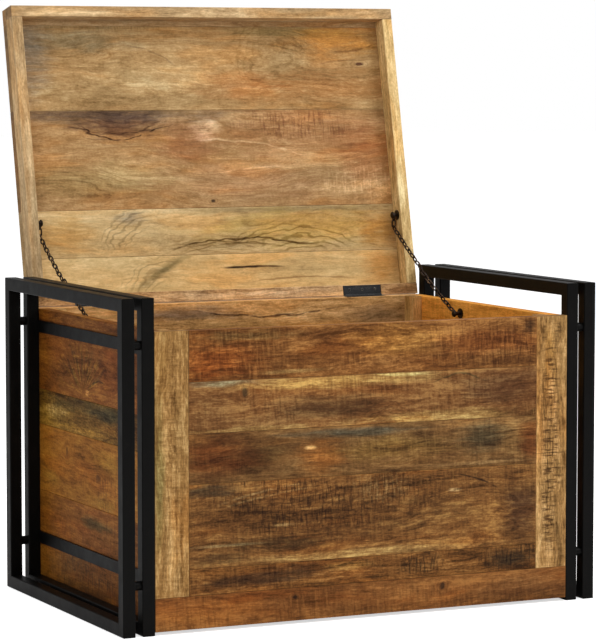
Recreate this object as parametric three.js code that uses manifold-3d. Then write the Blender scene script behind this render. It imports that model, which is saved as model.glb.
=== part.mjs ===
// Lift-lid storage chest: a plank box carried between two welded square-tube side frames.
// Millimetres, +Z up, the front faces -Y. The lid stands open on its hinges and two chains.

import * as THREE from 'three';
import { mergeVertices } from 'three/addons/utils/BufferGeometryUtils.js';
import Module from 'manifold-3d';

const wasm = await Module();
wasm.setup();

// Driving dimensions of the whole chest
const chest = { width: 800, depth: 500, height: 500 };
// Gap between pieces that touch, and how far a cutter or a welded root runs past a face
const fit = 0.3;
const overrun = 2;

// Square-tube side frames: an outer and an inner loop with round pegs between them
const frame = { tube: 20, edge: 1.5, loopGap: 11, pegRadius: 7, upperPegDrop: 70, lowerPegHeight: 75 };
// Flat crossbars on the inner loop's side next to the box, below the box's top and above the floor
const crossbar = { height: 19, thickness: 3, upperDrop: 28, lowerHeight: 81 };

// Plank box
const box = { lift: 5, topDrop: 50, wall: 18, ease: 0.6 };
const front = { stileWidth: 54, baseHeight: 50 };
const floorBoard = { thickness: 12, height: 12 };
const batten = { width: 18, depth: 29, drop: 0.5 };

// Tray-shaped lid: four rims under a top of planks
const lid = { sideClearance: 1, frontSetback: 3, rimWidth: 18, rimHeight: 28, topThickness: 14, restGap: 0.4 };
const openDegrees = 102.1;

// Butt hinges
const hinge = { length: 70, thickness: 1.8, leafWidth: 14, knuckleRadius: 3.4, boreRadius: 1.9, pinRadius: 1.6 };
const hingePlace = { setBack: 1, fromBoxEnd: 71, pinProud: 1, knuckles: 5 };

// Stay chains and the screws that hold them
const chain = { wire: 2.6, bendRadius: 3, weld: 0.5, slack: 0.35, lieGap: 0.4, lengthShare: 1.001 };
const boxAnchor = { fromRear: 185, drop: 19.5 };
const lidAnchor = { reach: 139, rise: 14, standOff: 6.6 };
const screw = { radius: 1.8, bite: 14, tip: 2, shoulder: 3.2, headRadius: 6.1, headHeight: 3.8, headRim: 1 };
const flange = { radius: 8.6, thickness: 1.6 };

// Plank widths as shares of the height or depth they fill, from the bottom up or from the rear forward
const frontPlankShares = [0.1, 0.32, 0.19, 0.195, 0.195];
const sidePlankShares = [0.344, 0.24, 0.126, 0.29];
const rearPlankShares = [0.3, 0.24, 0.26, 0.2];
const lidPlankShares = [0.163, 0.159, 0.335, 0.289, 0.054];
// Shares of the head's radius and height that shape its dome
const domeShares = [[0.8, 0.68], [0.42, 0.94]];

// Links in each run of a chain, from its screw to the middle; every run but the last has an even count
const boxRunLinks = [4, 4, 5];
const lidRunLinks = [2, 6, 5];

// Facet counts
const roundSides = 12;
const pegSides = 16;
const linkSteps = 12;
const wireSides = 6;
const edgeSteps = 2;

// Places that follow from the sizes above
const half = 0.5;
const innerHalf = chest.width * half - 2 * frame.tube - frame.loopGap;
const boxHalf = innerHalf - fit;
const boxWidth = 2 * boxHalf;
const boxTop = chest.height - box.topDrop;
const boxHeight = boxTop - box.lift;
const frontY = -chest.depth * half;
const rearY = chest.depth * half;
const wallInner = boxHalf - box.wall;
const pivotY = rearY + hingePlace.setBack;
const pivotZ = boxTop + lid.restGap * half;
const lidHalf = innerHalf - lid.sideClearance;
const lidWidth = 2 * lidHalf;
const lidDepth = chest.depth - lid.frontSetback;
const rimFloor = lid.restGap * half;
const topFloor = rimFloor + lid.rimHeight + fit;
const lidTop = topFloor + lid.topThickness;
const leanBack = THREE.MathUtils.degToRad(openDegrees) - Math.PI * half;

// Materials
const steelBlack = new THREE.MeshStandardMaterial({ name: 'frame_steel', color: 0x1b1a1b, roughness: 0.5, metalness: 0.6 });
const plankBrown = new THREE.MeshStandardMaterial({ name: 'plank_wood', color: 0x86592e, roughness: 0.65 });
const stileTan = new THREE.MeshStandardMaterial({ name: 'pale_wood', color: 0xb58a55, roughness: 0.65 });
const baseRed = new THREE.MeshStandardMaterial({ name: 'base_wood', color: 0x74481f, roughness: 0.65 });
const lidHoney = new THREE.MeshStandardMaterial({ name: 'lid_wood', color: 0xb98d58, roughness: 0.6 });
const hingeBlack = new THREE.MeshStandardMaterial({ name: 'hinge_steel', color: 0x16181c, roughness: 0.4, metalness: 0.8 });
const chainBronze = new THREE.MeshStandardMaterial({ name: 'chain_steel', color: 0x2c1c16, roughness: 0.45, metalness: 0.8 });

// A closed solid from a geometry whose shared corners are merged
function solidOf(geometry) {
  const bare = geometry.clone();
  bare.deleteAttribute('normal');
  bare.deleteAttribute('uv');
  const merged = mergeVertices(bare);
  const vertProperties = Float32Array.from(merged.attributes.position.array);
  const triVerts = Uint32Array.from(merged.index.array);
  return new wasm.Manifold(new wasm.Mesh({ numProp: 3, vertProperties, triVerts }));
}

function geometryOf(solid) {
  const mesh = solid.getMesh();
  const geometry = new THREE.BufferGeometry();
  geometry.setAttribute('position', new THREE.Float32BufferAttribute(mesh.vertProperties, 3));
  geometry.setIndex([...mesh.triVerts]);
  geometry.computeVertexNormals();
  return geometry;
}

function joined(geometries) {
  return geometryOf(geometries.map(solidOf).reduce((sum, next) => sum.add(next)));
}

function cut(geometry, cutters) {
  return geometryOf(cutters.map(solidOf).reduce((rest, cutter) => rest.subtract(cutter), solidOf(geometry)));
}

function block(width, depth, height) {
  return new THREE.BoxGeometry(width, depth, height);
}

// A round bar along X, centred on the origin
function roundBar(radius, length, sides) {
  return new THREE.CylinderGeometry(radius, radius, length, sides).rotateZ(Math.PI * half);
}

function addMesh(parent, name, geometry, material, position = [0, 0, 0]) {
  const mesh = new THREE.Mesh(geometry, material);
  mesh.name = name;
  mesh.position.set(...position);
  parent.add(mesh);
  return mesh;
}

// A board with eased long edges: its length along X, its thickness along Y, its width along Z
function boardGeometry(length, width, thickness) {
  const x = thickness * half;
  const y = width * half;
  const e = box.ease;
  const section = new THREE.Shape();
  section.moveTo(-x + e, -y);
  section.lineTo(x - e, -y);
  section.lineTo(x, -y + e);
  section.lineTo(x, y - e);
  section.lineTo(x - e, y);
  section.lineTo(-x + e, y);
  section.lineTo(-x, y - e);
  section.lineTo(-x, -y + e);
  section.closePath();
  const geometry = new THREE.ExtrudeGeometry(section, { depth: length, bevelEnabled: false });
  geometry.translate(0, 0, -length * half);
  const alongX = new THREE.Vector3(1, 0, 0);
  const alongY = new THREE.Vector3(0, 1, 0);
  const alongZ = new THREE.Vector3(0, 0, 1);
  return geometry.applyMatrix4(new THREE.Matrix4().makeBasis(alongY, alongZ, alongX));
}

// Turns a board's length from X to Y, to Z, or lays it flat with its width along Y
const turned = {
  along: (geometry) => geometry,
  back: (geometry) => geometry.rotateZ(Math.PI * half),
  upright: (geometry) => geometry.rotateY(Math.PI * half),
  flat: (geometry) => geometry.rotateX(Math.PI * half),
};

// Start and width of each plank of a stack, with a seam of one fit between neighbours
function plankRows(shares, total) {
  let start = 0;
  return shares.map((share) => {
    const row = { centre: start + share * total * half, width: share * total - fit };
    start += share * total;
    return row;
  });
}

const root = new THREE.Group();
const body = new THREE.Group();
root.add(body);

// Side frames
function loopGeometry() {
  const y = chest.depth * half;
  const inset = frame.tube;
  const outline = new THREE.Shape();
  outline.moveTo(-y, 0);
  outline.lineTo(y, 0);
  outline.lineTo(y, chest.height);
  outline.lineTo(-y, chest.height);
  outline.closePath();
  const window = new THREE.Path();
  window.moveTo(-y + inset, inset);
  window.lineTo(-y + inset, chest.height - inset);
  window.lineTo(y - inset, chest.height - inset);
  window.lineTo(y - inset, inset);
  window.closePath();
  outline.holes.push(window);
  const rounding = { bevelThickness: frame.edge, bevelSize: frame.edge, bevelOffset: -frame.edge };
  const depth = frame.tube - 2 * frame.edge;
  const loop = new THREE.ExtrudeGeometry(outline, { depth, bevelSegments: edgeSteps, ...rounding });
  loop.translate(0, 0, -depth * half);
  const alongX = new THREE.Vector3(1, 0, 0);
  const alongY = new THREE.Vector3(0, 1, 0);
  const alongZ = new THREE.Vector3(0, 0, 1);
  return loop.applyMatrix4(new THREE.Matrix4().makeBasis(alongY, alongZ, alongX));
}

function addSideFrame(side, sign) {
  const postY = chest.depth * half - frame.tube * half;
  const outerX = chest.width * half - frame.tube * half;
  const innerX = outerX - frame.tube - frame.loopGap;
  const pegLength = frame.loopGap - fit + overrun;
  const pegX = -sign * (frame.tube * half - overrun + pegLength * half);
  const pegs = [chest.height - frame.upperPegDrop, frame.lowerPegHeight].flatMap((height) => [-postY, postY].map(
    (y) => roundBar(frame.pegRadius, pegLength, pegSides).translate(pegX, y, height)));
  addMesh(body, `${side}_outer_frame`, joined([loopGeometry(), ...pegs]), steelBlack, [sign * outerX, 0, 0]);

  const barLength = chest.depth - 2 * frame.tube + 2 * overrun;
  const barX = -sign * (frame.tube - crossbar.thickness) * half;
  const bars = [boxTop - crossbar.upperDrop, crossbar.lowerHeight].map(
    (height) => block(crossbar.thickness, barLength, crossbar.height).translate(barX, 0, height));
  addMesh(body, `${side}_inner_frame`, joined([loopGeometry(), ...bars]), steelBlack, [sign * innerX, 0, 0]);
}

addSideFrame('left', -1);
addSideFrame('right', 1);

// Box front: a base plank across the whole width, two stiles on it and planks between them
function addFront() {
  const y = frontY + box.wall * half;
  const panelFloor = box.lift + front.baseHeight;
  const panelHeight = boxTop - panelFloor;
  const base = boardGeometry(boxWidth, front.baseHeight - fit, box.wall);
  addMesh(body, 'front_base_plank', base, baseRed, [0, y, box.lift + (front.baseHeight - fit) * half]);
  for (const [side, sign] of [['left', -1], ['right', 1]]) {
    const stile = turned.upright(boardGeometry(panelHeight, front.stileWidth, box.wall));
    const x = sign * (boxHalf - front.stileWidth * half);
    addMesh(body, `front_${side}_stile`, stile, stileTan, [x, y, panelFloor + panelHeight * half]);
  }
  const plankLength = boxWidth - 2 * front.stileWidth - 2 * fit;
  plankRows(frontPlankShares, panelHeight).forEach((row, index) => {
    const plank = boardGeometry(plankLength, row.width, box.wall);
    addMesh(body, `front_plank_${index + 1}`, plank, plankBrown, [0, y, panelFloor + row.centre]);
  });
}

// How far the leaves keep from the pin, clear of each other's knuckles
const leafStart = hinge.knuckleRadius + fit;

// One hinge mortise, open to the rear and rounded for the knuckles, in the frame of the board it is cut from
function mortise(floorZ, ceilingZ, edgeY, pinZ) {
  const length = hinge.length + 2 * fit + 2 * hingePlace.pinProud;
  const depth = leafStart + hinge.leafWidth + fit - hingePlace.setBack + overrun;
  const slot = block(length, depth, ceilingZ - floorZ).translate(
    0, edgeY + overrun - depth * half, (ceilingZ + floorZ) * half);
  const seat = roundBar(hinge.knuckleRadius + fit, length, pegSides).translate(0, edgeY + hingePlace.setBack, pinZ);
  return joined([slot, seat]);
}

const hingeX = boxHalf - hingePlace.fromBoxEnd - hinge.length * half;

function addRear() {
  const y = rearY - box.wall * half;
  const rows = plankRows(rearPlankShares, boxHeight);
  rows.forEach((row, index) => {
    const isTop = index === rows.length - 1;
    const plank = boardGeometry(boxWidth, row.width, box.wall);
    const top = row.width * half;
    const cutters = [-hingeX, hingeX].map(
      (x) => mortise(top - hinge.thickness - fit, top + overrun, box.wall * half, top + rimFloor).translate(x, 0, 0));
    const geometry = isTop ? cut(plank, cutters) : plank;
    addMesh(body, `rear_plank_${index + 1}`, geometry, plankBrown, [0, y, box.lift + row.centre]);
  });
}

const boxAnchorY = rearY - boxAnchor.fromRear;
const boxAnchorZ = boxTop - boxAnchor.drop;

function addSides() {
  const length = chest.depth - 2 * box.wall - 2 * fit;
  const rows = plankRows(sidePlankShares, boxHeight);
  for (const [side, sign] of [['left', -1], ['right', 1]]) {
    const x = sign * (boxHalf - box.wall * half);
    rows.forEach((row, index) => {
      const centreZ = box.lift + row.centre;
      const plank = turned.back(boardGeometry(length, row.width, box.wall));
      const pilot = roundBar(screw.radius + fit, 2 * (screw.bite + fit), roundSides);
      pilot.translate(-sign * box.wall * half, boxAnchorY, boxAnchorZ - centreZ);
      const isTop = index === rows.length - 1;
      addMesh(body, `${side}_side_plank_${index + 1}`, isTop ? cut(plank, [pilot]) : plank, plankBrown,
        [x, 0, centreZ]);
    });
  }
}

function addFloor() {
  const width = 2 * wallInner - 2 * fit;
  const depth = chest.depth - 2 * box.wall - 2 * fit;
  const floor = turned.flat(boardGeometry(width, depth, floorBoard.thickness));
  addMesh(body, 'floor_board', floor, plankBrown, [0, 0, box.lift + floorBoard.height + floorBoard.thickness * half]);
}

// Corner battens stand on the floor board in the four inner corners
function addBattens() {
  const foot = box.lift + floorBoard.height + floorBoard.thickness + fit;
  const height = boxTop - batten.drop - foot;
  for (const [side, signX] of [['left', -1], ['right', 1]]) {
    for (const [end, signY] of [['front', -1], ['rear', 1]]) {
      const geometry = turned.upright(boardGeometry(height, batten.width, batten.depth));
      const x = signX * (wallInner - fit - batten.width * half);
      const y = signY * (rearY - box.wall - fit - batten.depth * half);
      addMesh(body, `${end}_${side}_batten`, geometry, stileTan, [x, y, foot + height * half]);
    }
  }
}

addFront();
addRear();
addSides();
addFloor();
addBattens();

// Lid, built closed about the hinge axis and then turned open
const lidGroup = new THREE.Group();
lidGroup.position.set(0, pivotY, pivotZ);
lidGroup.rotation.x = -THREE.MathUtils.degToRad(openDegrees);
root.add(lidGroup);

function addLid() {
  const rearFace = -hingePlace.setBack;
  const frontFace = rearFace - lidDepth;
  const rimZ = rimFloor + lid.rimHeight * half;
  const frontRim = boardGeometry(lidWidth, lid.rimHeight, lid.rimWidth);
  addMesh(lidGroup, 'lid_front_rim', frontRim, stileTan, [0, frontFace + lid.rimWidth * half, rimZ]);
  const bottom = -lid.rimHeight * half;
  const mortises = [-hingeX, hingeX].map((x) => mortise(
    bottom - overrun, bottom + hinge.thickness + fit, lid.rimWidth * half, bottom - rimFloor).translate(x, 0, 0));
  const rearRim = cut(boardGeometry(lidWidth, lid.rimHeight, lid.rimWidth), mortises);
  addMesh(lidGroup, 'lid_rear_rim', rearRim, stileTan, [0, rearFace - lid.rimWidth * half, rimZ]);
  const sideLength = lidDepth - 2 * lid.rimWidth - 2 * fit;
  const sideCentre = rearFace - lidDepth * half;
  for (const [side, sign] of [['left', -1], ['right', 1]]) {
    const pilot = roundBar(screw.radius + fit, 2 * (screw.bite + fit), roundSides);
    pilot.translate(-sign * lid.rimWidth * half, -lidAnchor.reach - sideCentre, lidAnchor.rise - rimZ);
    const rim = cut(turned.back(boardGeometry(sideLength, lid.rimHeight, lid.rimWidth)), [pilot]);
    addMesh(lidGroup, `lid_${side}_rim`, rim, stileTan, [sign * (lidHalf - lid.rimWidth * half), sideCentre, rimZ]);
  }
  plankRows(lidPlankShares, lidDepth).forEach((row, index) => {
    const plank = turned.flat(boardGeometry(lidWidth, row.width, lid.topThickness));
    addMesh(lidGroup, `lid_plank_${index + 1}`, plank, lidHoney,
      [0, rearFace - row.centre, topFloor + lid.topThickness * half]);
  });
}

addLid();

// Butt hinges. Both leaves are drawn about the pin, with the plate's face towards the other leaf at faceZ
function leafGeometry(plateZ, ownsKnuckle) {
  const plate = block(hinge.length, hinge.leafWidth, hinge.thickness).translate(
    0, -leafStart - hinge.leafWidth * half, plateZ);
  const span = hinge.length / hingePlace.knuckles;
  const pieces = [plate];
  for (let index = 0; index < hingePlace.knuckles; index += 1) {
    if (!ownsKnuckle(index)) continue;
    const x = (index + half) * span - hinge.length * half;
    const tongue = block(span - fit, leafStart + overrun, hinge.thickness);
    tongue.translate(x, -(leafStart + overrun) * half, plateZ);
    pieces.push(tongue, roundBar(hinge.knuckleRadius, span - fit, roundSides).translate(x, 0, 0));
  }
  return cut(joined(pieces), [roundBar(hinge.boreRadius, hinge.length + 2 * overrun, roundSides)]);
}

function addHinge(side, sign) {
  const boxPlateZ = -rimFloor - hinge.thickness * half;
  const lidPlateZ = rimFloor + hinge.thickness * half;
  const x = sign * hingeX;
  const boxLeaf = leafGeometry(boxPlateZ, (index) => index % 2 === 0);
  const lidLeaf = leafGeometry(lidPlateZ, (index) => index % 2 === 1);
  const pin = roundBar(hinge.pinRadius, hinge.length + 2 * hingePlace.pinProud, roundSides);
  addMesh(body, `${side}_hinge_box_leaf`, boxLeaf, hingeBlack, [x, pivotY, pivotZ]);
  addMesh(body, `${side}_hinge_pin`, pin, hingeBlack, [x, pivotY, pivotZ]);
  addMesh(lidGroup, `${side}_hinge_lid_leaf`, lidLeaf, hingeBlack, [x, 0, 0]);
}

addHinge('left', -1);
addHinge('right', 1);

// Chain screw: a bite in the wood, a flange on it, a shoulder, a neck that the end link turns on and a domed head
function screwGeometry(standOff, sign) {
  const neckStart = standOff - chain.wire * half - chain.slack;
  const neckEnd = standOff + chain.wire * half + chain.slack;
  const profile = [
    [0, -screw.bite], [screw.radius, -screw.bite + screw.tip], [screw.radius, fit], [flange.radius, fit],
    [flange.radius, fit + flange.thickness], [screw.shoulder, fit + flange.thickness],
    [screw.shoulder, neckStart], [screw.radius, neckStart], [screw.radius, neckEnd],
    [screw.headRadius, neckEnd], [screw.headRadius, neckEnd + screw.headRim],
    ...domeShares.map(([wide, high]) => [screw.headRadius * wide, neckEnd + screw.headHeight * high]),
    [0, neckEnd + screw.headHeight],
  ].map(([radius, along]) => new THREE.Vector2(radius, along));
  return new THREE.LatheGeometry(profile, roundSides).rotateZ(sign * Math.PI * half);
}

// Distance from a run's pivot to the centre of its first link; the screw's neck is thicker than a link's wire
function firstCentre(turnsOnScrew, pitch) {
  const axisGap = turnsOnScrew ? screw.radius + chain.wire * half : chain.wire;
  return (pitch + chain.wire) * half - axisGap - chain.slack;
}

// From a run's pivot to the far wire of its last link, where the next run turns
function runLength(count, turnsOnScrew, pitch) {
  return endLength(count, turnsOnScrew, pitch) + (pitch + chain.wire) * half;
}

// From a run's pivot to the centre of its last link, where the two halves of a chain lie side by side
function endLength(count, turnsOnScrew, pitch) {
  return firstCentre(turnsOnScrew, pitch) + (count - 1) * (pitch + chain.weld);
}

// Lengths of the three runs of one half of a chain, from its screw to the place where the halves meet
function halfLengths(counts, pitch) {
  return counts.map((count, index) => (index === counts.length - 1
    ? endLength(count, false, pitch) : runLength(count, index === 0, pitch)));
}

// Lengths between the lower screw and the top run, which hangs straight down from the lid's screw
function slungLengths(pitch) {
  const lidLengths = halfLengths(lidRunLinks, pitch);
  return [...halfLengths(boxRunLinks, pitch), pitch + chain.weld, ...lidLengths.slice(1).reverse()];
}

// Anchors in the YZ plane of the open lid
const boxEnd = new THREE.Vector2(boxAnchorY, boxAnchorZ);
const lidEnd = new THREE.Vector2(
  pivotY + lidAnchor.reach * Math.sin(leanBack) + lidAnchor.rise * Math.cos(leanBack),
  pivotZ + lidAnchor.reach * Math.cos(leanBack) - lidAnchor.rise * Math.sin(leanBack));

function slungChord(pitch) {
  return lidEnd.clone().sub(boxEnd).sub(new THREE.Vector2(0, halfLengths(lidRunLinks, pitch)[0]));
}

function total(lengths) {
  return lengths.reduce((sum, length) => sum + length, 0);
}

// A value between low and high at which the rising function passes zero
function crossing(rising, low, high) {
  let below = low;
  let above = high;
  for (let pass = 0; pass < 50; pass += 1) {
    const middle = (below + above) * half;
    if (rising(middle) < 0) below = middle;
    else above = middle;
  }
  return (below + above) * half;
}

// The links' pitch gives the slung runs a little more length than the straight line between their ends
const pitch = crossing(
  (trial) => total(slungLengths(trial)) - chain.lengthShare * slungChord(trial).length(), 0, chest.depth);

// Directions of the slung runs: they turn evenly, by as much as their spare length asks
function hangingDirections(lengths, chord) {
  let travelled = 0;
  const middles = lengths.map((length) => {
    const middle = (travelled + length * half) / total(lengths) - half;
    travelled += length;
    return middle;
  });
  const reach = (turn) => lengths.reduce((sum, length, index) => sum.add(
    new THREE.Vector2(Math.cos(turn * middles[index]), Math.sin(turn * middles[index])).multiplyScalar(length)),
  new THREE.Vector2());
  const turn = crossing((trial) => chord.length() - reach(trial).length(), 0, Math.PI);
  const tilt = chord.angle() - reach(turn).angle();
  return middles.map((middle) => middle * turn + tilt);
}

const slungDirections = hangingDirections(slungLengths(pitch), slungChord(pitch));

// Centreline of one oval link, in the XY plane with its long axis along X
class LinkCurve extends THREE.Curve {
  getPoint(t, target = new THREE.Vector3()) {
    const straight = pitch + chain.wire - 2 * chain.bendRadius;
    const arc = Math.PI * chain.bendRadius;
    const lap = ((t % 1) + 1) % 1 * 2 * (straight + arc);
    const onFarSide = lap >= straight + arc;
    const along = onFarSide ? lap - straight - arc : lap;
    const turn = Math.max(along - straight, 0) / chain.bendRadius;
    const x = Math.min(along, straight) - straight * half + chain.bendRadius * Math.sin(turn);
    const y = -chain.bendRadius * Math.cos(turn);
    return onFarSide ? target.set(-x, -y, 0) : target.set(x, y, 0);
  }
}

// A run of interlocked links from its pivot along X, every second link turned a quarter
function runGeometry(count, turnsOnScrew) {
  const links = Array.from({ length: count }, (_, index) => {
    const link = new THREE.TubeGeometry(new LinkCurve(), linkSteps, chain.wire * half, wireSides, true);
    if (index % 2 === 1) link.rotateX(Math.PI * half);
    return link.translate(endLength(index + 1, turnsOnScrew, pitch), 0, 0);
  });
  return joined(links);
}

// Adds the runs of one half of a chain, each starting where the last one ends
function addRuns(prefix, counts, directions, start, x) {
  const pivot = start.clone();
  halfLengths(counts, pitch).forEach((length, index) => {
    const heading = new THREE.Vector2(Math.cos(directions[index]), Math.sin(directions[index]));
    const run = addMesh(body, `${prefix}_${index + 1}`, runGeometry(counts[index], index === 0), chainBronze,
      [x, pivot.x, pivot.y]);
    const along = new THREE.Vector3(0, heading.x, heading.y);
    const across = new THREE.Vector3(0, -heading.y, heading.x);
    run.setRotationFromMatrix(new THREE.Matrix4().makeBasis(along, across, new THREE.Vector3(1, 0, 0)));
    pivot.add(heading.multiplyScalar(length));
  });
}

function addChain(side, sign) {
  const lidX = lidHalf - lid.rimWidth - lidAnchor.standOff;
  const boxX = lidX - chain.wire - chain.lieGap;
  addMesh(body, `${side}_box_screw`, screwGeometry(wallInner - boxX, sign), chainBronze,
    [sign * wallInner, boxAnchorY, boxAnchorZ]);
  addMesh(lidGroup, `${side}_lid_screw`, screwGeometry(lidAnchor.standOff, sign), chainBronze,
    [sign * (lidHalf - lid.rimWidth), -lidAnchor.reach, lidAnchor.rise]);
  const downward = slungDirections.slice(4).reverse().map((direction) => direction + Math.PI);
  addRuns(`${side}_box_chain`, boxRunLinks, slungDirections.slice(0, 3), boxEnd, sign * boxX);
  addRuns(`${side}_lid_chain`, lidRunLinks, [-Math.PI * half, ...downward], lidEnd, sign * lidX);
}

addChain('left', -1);
addChain('right', 1);

// The row stands on its base, centred on the room that it takes up with the lid open
const rearmost = pivotY + (lidDepth + hingePlace.setBack) * Math.sin(leanBack) + lidTop * Math.cos(leanBack);
root.position.y = -(frontY + rearmost) * half;

export default root;
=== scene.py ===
"""Looks of a lift-lid storage chest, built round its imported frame."""

import logging
import math
from collections.abc import Callable, Sequence
from dataclasses import dataclass
from enum import Enum
from functools import partial

import bmesh
import bpy
from mathutils import Matrix, Vector


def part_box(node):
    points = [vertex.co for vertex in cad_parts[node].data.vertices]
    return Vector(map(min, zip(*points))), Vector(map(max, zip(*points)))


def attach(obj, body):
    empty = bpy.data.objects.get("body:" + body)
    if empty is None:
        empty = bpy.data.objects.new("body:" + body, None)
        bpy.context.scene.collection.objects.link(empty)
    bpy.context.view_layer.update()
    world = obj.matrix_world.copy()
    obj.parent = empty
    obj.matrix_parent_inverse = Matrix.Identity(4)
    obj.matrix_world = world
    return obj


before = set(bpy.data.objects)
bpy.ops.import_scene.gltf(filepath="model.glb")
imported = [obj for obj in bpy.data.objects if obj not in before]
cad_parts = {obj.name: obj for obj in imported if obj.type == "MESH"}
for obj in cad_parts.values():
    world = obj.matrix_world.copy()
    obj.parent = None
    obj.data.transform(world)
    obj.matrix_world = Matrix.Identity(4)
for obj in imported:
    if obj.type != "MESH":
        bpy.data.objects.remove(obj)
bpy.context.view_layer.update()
LOG = logging.getLogger("storage_chest")

Colour = tuple[float, float, float]
Point = tuple[float, float, float]
Flat = tuple[float, float]
Socket = bpy.types.NodeSocket

SIDES = ("left", "right")
MILLIMETRE = 0.001
MERGE_DISTANCE = 1e-6
LEAN = math.radians(12.1)
DEEPEST, PALEST = 0.62, 1.3
KNOT_BROWN = 0x2E1B0E


def tone(code: int) -> Colour:
    """Turns a screen colour into the linear colour that shaders use.

    Args:
        code: the screen colour as 0xRRGGBB.

    Returns:
        The linear red, green and blue.
    """
    shares = [((code >> shift) & 255) / 255 for shift in (16, 8, 0)]
    return tuple(s / 12.92 if s <= 0.04045 else ((s + 0.055) / 1.055) ** 2.4 for s in shares)


def shift_between(low: int, high: int) -> Colour:
    """The factors that turn one screen colour into another when they multiply it."""
    return tuple(b / a for a, b in zip(tone(low), tone(high)))


class Lay(Enum):
    """How a board lies: the way its length runs and the way its width runs."""

    FRONT = (Vector((1, 0, 0)), Vector((0, 0, 1)))
    UPRIGHT = (Vector((0, 0, 1)), Vector((1, 0, 0)))
    SIDE = (Vector((0, 1, 0)), Vector((0, 0, 1)))
    FLAT = (Vector((1, 0, 0)), Vector((0, 1, 0)))
    LID = (Vector((1, 0, 0)), Vector((0, math.sin(LEAN), math.cos(LEAN))))
    LID_SIDE = (Vector((0, math.sin(LEAN), math.cos(LEAN))), Vector((1, 0, 0)))

    def basis(self) -> Matrix:
        """The turn from a board's own axes to the row frame."""
        along, across = self.value
        return Matrix((along, across, along.cross(across))).transposed()


class Graph:
    """Adds and joins the nodes of one shader tree."""

    def __init__(self, tree: bpy.types.NodeTree) -> None:
        """Takes the tree that the nodes go into."""
        self.tree = tree

    def add(self, kind: str, **settings: object) -> bpy.types.Node:
        """Adds a node.

        Args:
            kind: the node's type name, without its leading ShaderNode.
            settings: properties set on the node.

        Returns:
            The new node.
        """
        node = self.tree.nodes.new("ShaderNode" + kind)
        for key, value in settings.items():
            setattr(node, key, value)
        return node

    def put(self, target: Socket, value: object) -> None:
        """Links a socket to the target, or sets a plain value on it.

        Args:
            target: the input that is fed.
            value: an output socket, a number, or the parts of a vector or colour.
        """
        if isinstance(value, bpy.types.NodeSocket):
            self.tree.links.new(value, target)
        elif target.type == "RGBA" and len(value) == 3:
            target.default_value = (*value, 1.0)
        else:
            target.default_value = value

    def feed(self, node: bpy.types.Node, values: Sequence[object]) -> bpy.types.Node:
        """Puts the values on a node's first inputs and gives the node back."""
        for target, value in zip(node.inputs, values):
            self.put(target, value)
        return node

    def fill(self, node: bpy.types.Node, values: dict[str, object]) -> bpy.types.Node:
        """Puts the values on the inputs of the same names and gives the node back."""
        for name, value in values.items():
            self.put(node.inputs[name], value)
        return node

    def math(self, operation: str, *values: object, clamp: bool = False) -> Socket:
        """The result of a Math node on the values."""
        return self.feed(self.add("Math", operation=operation, use_clamp=clamp), values).outputs[0]

    def sum(self, *values: object) -> Socket:
        """Adds the values up."""
        total = values[0]
        for value in values[1:]:
            total = self.math("ADD", total, value)
        return total

    def scaled(self, *values: object) -> Socket:
        """Multiplies the values."""
        product = values[0]
        for value in values[1:]:
            product = self.math("MULTIPLY", product, value)
        return product

    def centred(self, value: object, factor: float) -> Socket:
        """Turns a value of about 0 to 1 into one of about minus to plus half the factor."""
        return self.scaled(self.math("SUBTRACT", value, 0.5), factor)

    def vector(self, operation: str, *values: object) -> Socket:
        """The result of a Vector Math node on the values."""
        node = self.feed(self.add("VectorMath", operation=operation), values)
        return node.outputs["Value" if operation == "LENGTH" else "Vector"]

    def mix(self, amount: object, low: object, high: object, blend: str = "MIX") -> Socket:
        """Mixes two colours.

        Args:
            amount: the share of the second colour.
            low: the first colour.
            high: the second colour.
            blend: the way of mixing.

        Returns:
            The mixed colour.
        """
        node = self.add("Mix", data_type="RGBA", blend_type=blend)
        inputs = {socket.identifier: socket for socket in node.inputs}
        for label, value in (("Factor_Float", amount), ("A_Color", low), ("B_Color", high)):
            self.put(inputs[label], value)
        return next(socket for socket in node.outputs if socket.identifier == "Result_Color")

    def fade(self, value: object, start: float, end: float) -> Socket:
        """A smooth step from 0 at start to 1 at end.

        Args:
            value: what the step reads.
            start: where it is 0.
            end: where it is 1, which may lie below the start.

        Returns:
            The step's height.
        """
        ends = (0.0, 1.0) if start < end else (1.0, 0.0)
        node = self.add("MapRange", interpolation_type="SMOOTHSTEP")
        return self.feed(node, (value, min(start, end), max(start, end), *ends)).outputs[0]

    def split(self, vector: object) -> Sequence[Socket]:
        """The three parts of a vector."""
        return self.feed(self.add("SeparateXYZ"), (vector,)).outputs

    def combine(self, x: object, y: object, z: object = 0.0) -> Socket:
        """A vector of three parts."""
        return self.feed(self.add("CombineXYZ"), (x, y, z)).outputs[0]

    def mapping(self, vector: object, place: Point, turn: Sequence[float], size: Point = (1, 1, 1)) -> Socket:
        """Reads a vector in a frame with its own place, turn and size.

        Args:
            vector: the vector to read.
            place: the frame's origin.
            turn: the frame's turn as Euler angles.
            size: the frame's unit along each of its axes.

        Returns:
            The vector in that frame.
        """
        node = self.add("Mapping", vector_type="TEXTURE")
        return self.feed(node, (vector, place, turn, size)).outputs[0]

    def bump(self, height: Socket, strength: float, distance: float) -> Socket:
        """Turns a height into a surface normal."""
        values = {"Strength": strength, "Distance": distance, "Height": height}
        return self.fill(self.add("Bump"), values).outputs[0]

    def place(self, group: bpy.types.NodeTree, **values: object) -> bpy.types.Node:
        """Places a node group and gives its inputs their values.

        Args:
            group: the group to place.
            values: input names in lower case, and their values or sockets.

        Returns:
            The group's node.
        """
        node = self.add("Group")
        node.node_tree = group
        return self.fill(node, {key.capitalize(): value for key, value in values.items()})


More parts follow.
